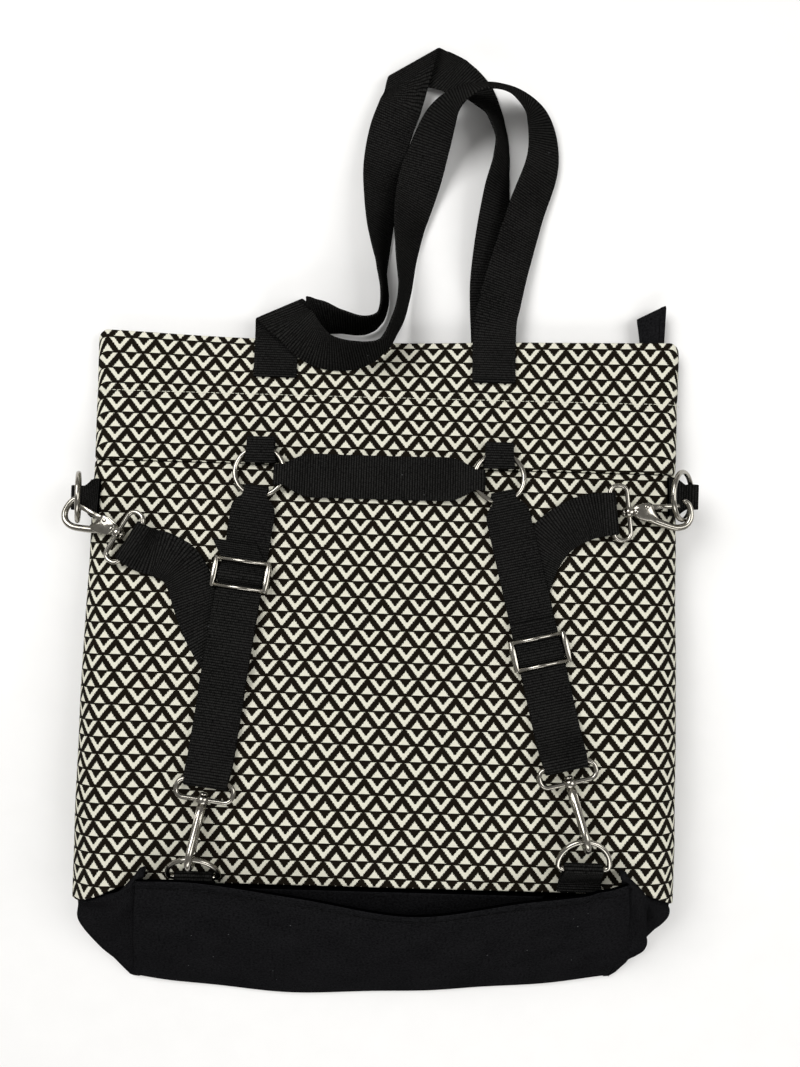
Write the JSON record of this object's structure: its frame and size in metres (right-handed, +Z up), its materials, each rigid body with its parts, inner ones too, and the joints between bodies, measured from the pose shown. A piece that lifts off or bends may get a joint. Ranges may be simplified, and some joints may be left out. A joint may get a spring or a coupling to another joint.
{
  "type": "diaper backpack",
  "caption": "Soft tote backpack lying on its front: woven body open at the mouth, folded dark base, webbing handles and clip-on shoulder straps with rings and sprung snap hooks.",
  "frame": {"origin": "middle of the front panel's flat underside, on the surface the bag lies on", "axes": "+Y from the base to the mouth, +X across the bag towards the zip's free end, +Z up from the surface"},
  "size_m": [0.4572, 0.7148, 0.0844],
  "materials": {
    "jacquard": "black and cream jacquard weave, matte",
    "canvas": "black cotton canvas, matte",
    "webbing": "black ribbed cotton webbing, matte",
    "nickel": "bright nickel plate"
  },
  "bodies": {
    "bag": {"back_lower": "jacquard", "back_upper": "jacquard", "base_back": "canvas", "base_bottom": "canvas", "base_front": "canvas", "base_hook_left": "nickel", "base_hook_left_loop": "nickel", "base_hook_right": "nickel", "base_hook_right_loop": "nickel", "base_side_left": "canvas", "base_side_right": "canvas", "d_ring_left": "nickel", "d_ring_right": "nickel", "d_ring_tab_left": "webbing", "d_ring_tab_right": "webbing", "front_panel": "jacquard", "handle_back": "webbing", "handle_front": "webbing", "ring_left": "nickel", "ring_right": "nickel", "ring_tab_left": "webbing", "ring_tab_right": "webbing", "shoulder_strap_left": "webbing", "shoulder_strap_right": "webbing", "side_hook_left": "nickel", "side_hook_left_loop": "nickel", "side_hook_right": "nickel", "side_hook_right_loop": "nickel", "side_ring_left": "nickel", "side_ring_right": "nickel", "side_strap_left": "webbing", "side_strap_right": "webbing", "side_tab_left": "webbing", "side_tab_right": "webbing", "slider_left": "nickel", "slider_right": "nickel", "yoke_strap": "webbing", "zip_end_tab": "webbing"},
    "base_hook_left_gate": {"base_hook_left_gate": "nickel"},
    "base_hook_right_gate": {"base_hook_right_gate": "nickel"},
    "side_hook_left_gate": {"side_hook_left_gate": "nickel"},
    "side_hook_right_gate": {"side_hook_right_gate": "nickel"}
  },
  "joints": [
    {"name": "side_hook_right_gate_hinge", "type": "hinge", "parent": "bag", "child": "side_hook_right_gate", "pos_m": [0.18628, 0.073, 0.03934], "axis": [0.0104, 0.0013, -0.9999], "range_deg": [0, 16], "stiffness_Nm_per_rad": 0.08, "springref_deg": -14.32},
    {"name": "side_hook_left_gate_hinge", "type": "hinge", "parent": "bag", "child": "side_hook_left_gate", "pos_m": [-0.1964, 0.05258, 0.04025], "axis": [-0.1504, 0.0868, 0.9848], "range_deg": [0, 16], "stiffness_Nm_per_rad": 0.08, "springref_deg": -14.32},
    {"name": "base_hook_right_gate_hinge", "type": "hinge", "parent": "bag", "child": "base_hook_right_gate", "pos_m": [0.13532, -0.12904, 0.06336], "axis": [-0.9694, -0.2453, 0], "range_deg": [0, 16], "stiffness_Nm_per_rad": 0.08, "springref_deg": -14.32},
    {"name": "base_hook_left_gate_hinge", "type": "hinge", "parent": "bag", "child": "base_hook_left_gate", "pos_m": [-0.11812, -0.14752, 0.06336], "axis": [-0.9922, 0.1245, 0], "range_deg": [0, 16], "stiffness_Nm_per_rad": 0.08, "springref_deg": -14.32}
  ]
}
